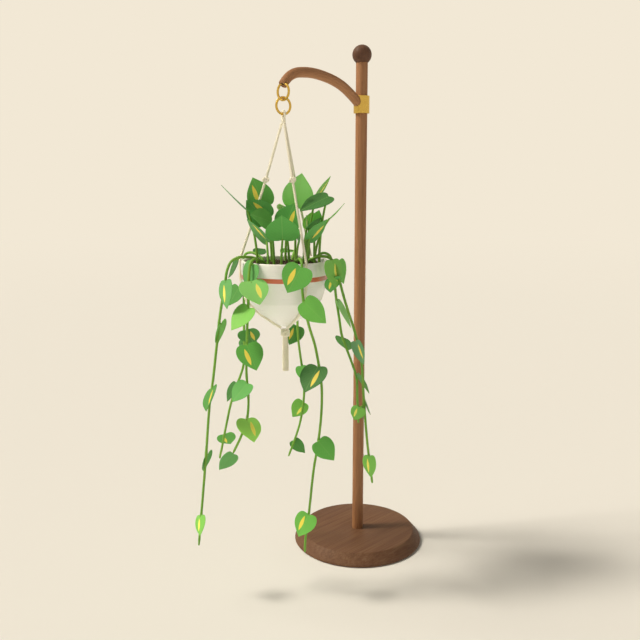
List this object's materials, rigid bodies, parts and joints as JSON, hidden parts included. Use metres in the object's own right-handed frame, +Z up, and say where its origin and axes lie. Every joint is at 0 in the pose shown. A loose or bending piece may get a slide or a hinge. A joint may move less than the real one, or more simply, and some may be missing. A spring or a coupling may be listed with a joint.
{
  "type": "potted pothos plant",
  "caption": "Trailing pothos houseplant in a round glazed pot, slung in a knotted cord hanger from the curved arm of a wooden stand.",
  "frame": {"origin": "centre of the round base's underside, on the pole's axis, at the surface it stands on", "axes": "+Z up along the pole; -X from the pole along the arm, towards the hanging pot; +Y completes the right-handed frame"},
  "size_m": [0.5876, 0.3781, 1.1318],
  "materials": {
    "wood": "satin",
    "dark_wood": "satin",
    "ballast_iron": "matte",
    "brass": "satin",
    "cotton_cord": "matte",
    "glazed_pot": "satin",
    "potting_soil": "matte",
    "leaf_green": "satin",
    "vine_green": "satin"
  },
  "bodies": {
    "root": {"base": "dark_wood", "base_ballast": "ballast_iron", "pole": "wood", "finial": "dark_wood", "collar": "brass", "arm": "wood", "ring_upper": "brass", "ring_lower": "brass", "hanger_eye": "cotton_cord", "hanger_leg_1": "cotton_cord", "hanger_leg_2": "cotton_cord", "hanger_leg_3": "cotton_cord", "gathering_knot": "cotton_cord", "tassel": "cotton_cord", "pot": "glazed_pot", "soil": "potting_soil", "leaf_01": "leaf_green", "leaf_02": "leaf_green", "leaf_03": "leaf_green", "leaf_04": "leaf_green", "leaf_05": "leaf_green", "leaf_06": "leaf_green", "leaf_07": "leaf_green", "leaf_08": "leaf_green", "leaf_09": "leaf_green", "leaf_10": "leaf_green", "leaf_11": "leaf_green", "leaf_12": "leaf_green", "leaf_13": "leaf_green", "leaf_14": "leaf_green", "leaf_15": "leaf_green", "leaf_16": "leaf_green", "leaf_17": "leaf_green", "leaf_18": "leaf_green", "vine_1": "vine_green", "vine_2": "vine_green", "vine_3": "vine_green", "vine_4": "vine_green", "vine_5": "vine_green", "vine_6": "vine_green", "vine_7": "vine_green"}
  },
  "joints": []
}
